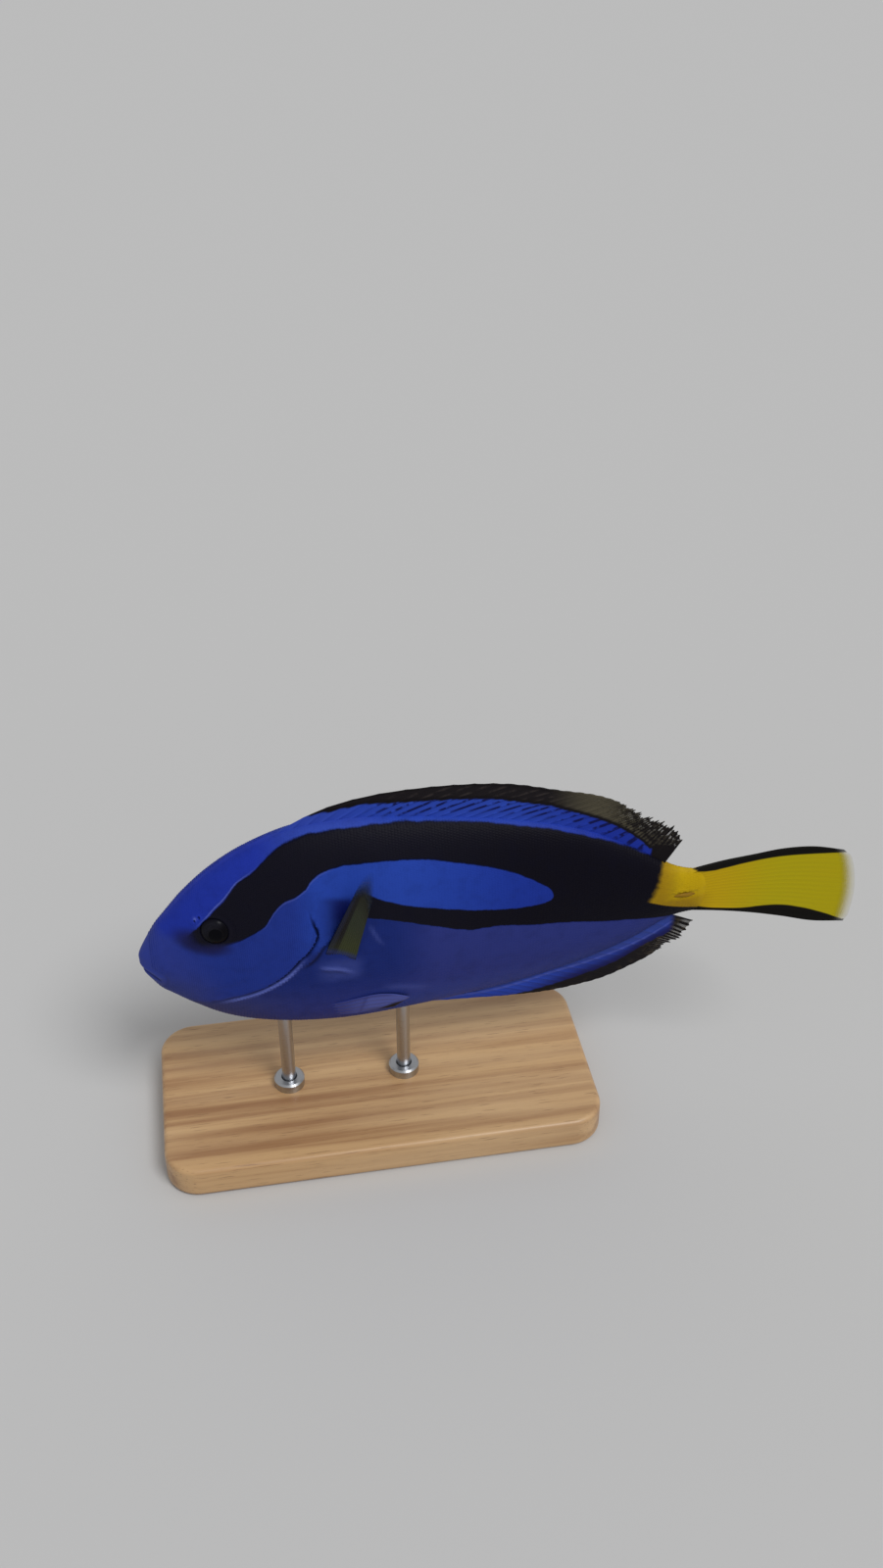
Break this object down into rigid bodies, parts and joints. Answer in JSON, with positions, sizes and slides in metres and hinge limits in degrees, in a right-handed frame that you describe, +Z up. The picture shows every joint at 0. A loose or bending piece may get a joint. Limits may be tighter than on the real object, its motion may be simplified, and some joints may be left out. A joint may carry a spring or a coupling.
{
  "type": "regal blue tang fish model",
  "caption": "Life-size still model of a regal blue tang, an oval flat-sided reef fish with long low fins and a yellow tail, held by rods on a plain wooden display stand.",
  "frame": {"origin": "middle of the display stand's underside, on the surface that it stands on", "axes": "-X towards the snout and +X towards the tail, -Y out of the fish's left flank, +Z up"},
  "size_m": [0.2012, 0.06, 0.1136],
  "materials": {
    "skin": "wet skin with minute scales, royal blue with black markings",
    "blue_fin": "thin rayed membrane, royal blue with a black border",
    "tail": "yellow skin and rayed membrane with black outer strips",
    "pectoral_fin": "thin rayed membrane, olive yellow with a dark leading edge",
    "eye": "clear wet cornea over a dark iris and a black pupil",
    "spine": "smooth bony blade folded into its groove",
    "stand_wood": "satin oiled hardwood with fine straight grain",
    "stand_steel": "fine brushed steel"
  },
  "bodies": {
    "root": {"head": "skin", "trunk": "skin", "gill_cover_left": "skin", "gill_cover_right": "skin", "lower_jaw": "skin", "tail_root": "tail", "fin_dorsal": "blue_fin", "fin_anal": "blue_fin", "fin_pelvic_left": "blue_fin", "fin_pelvic_right": "blue_fin", "fin_caudal": "tail", "fin_pectoral_left": "pectoral_fin", "fin_pectoral_right": "pectoral_fin", "eye_left": "eye", "eye_right": "eye", "tail_blade_left": "spine", "tail_blade_right": "spine", "stand_base": "stand_wood", "stand_rod_front": "stand_steel", "stand_rod_rear": "stand_steel", "stand_collar_front": "stand_steel", "stand_collar_rear": "stand_steel"}
  },
  "joints": []
}
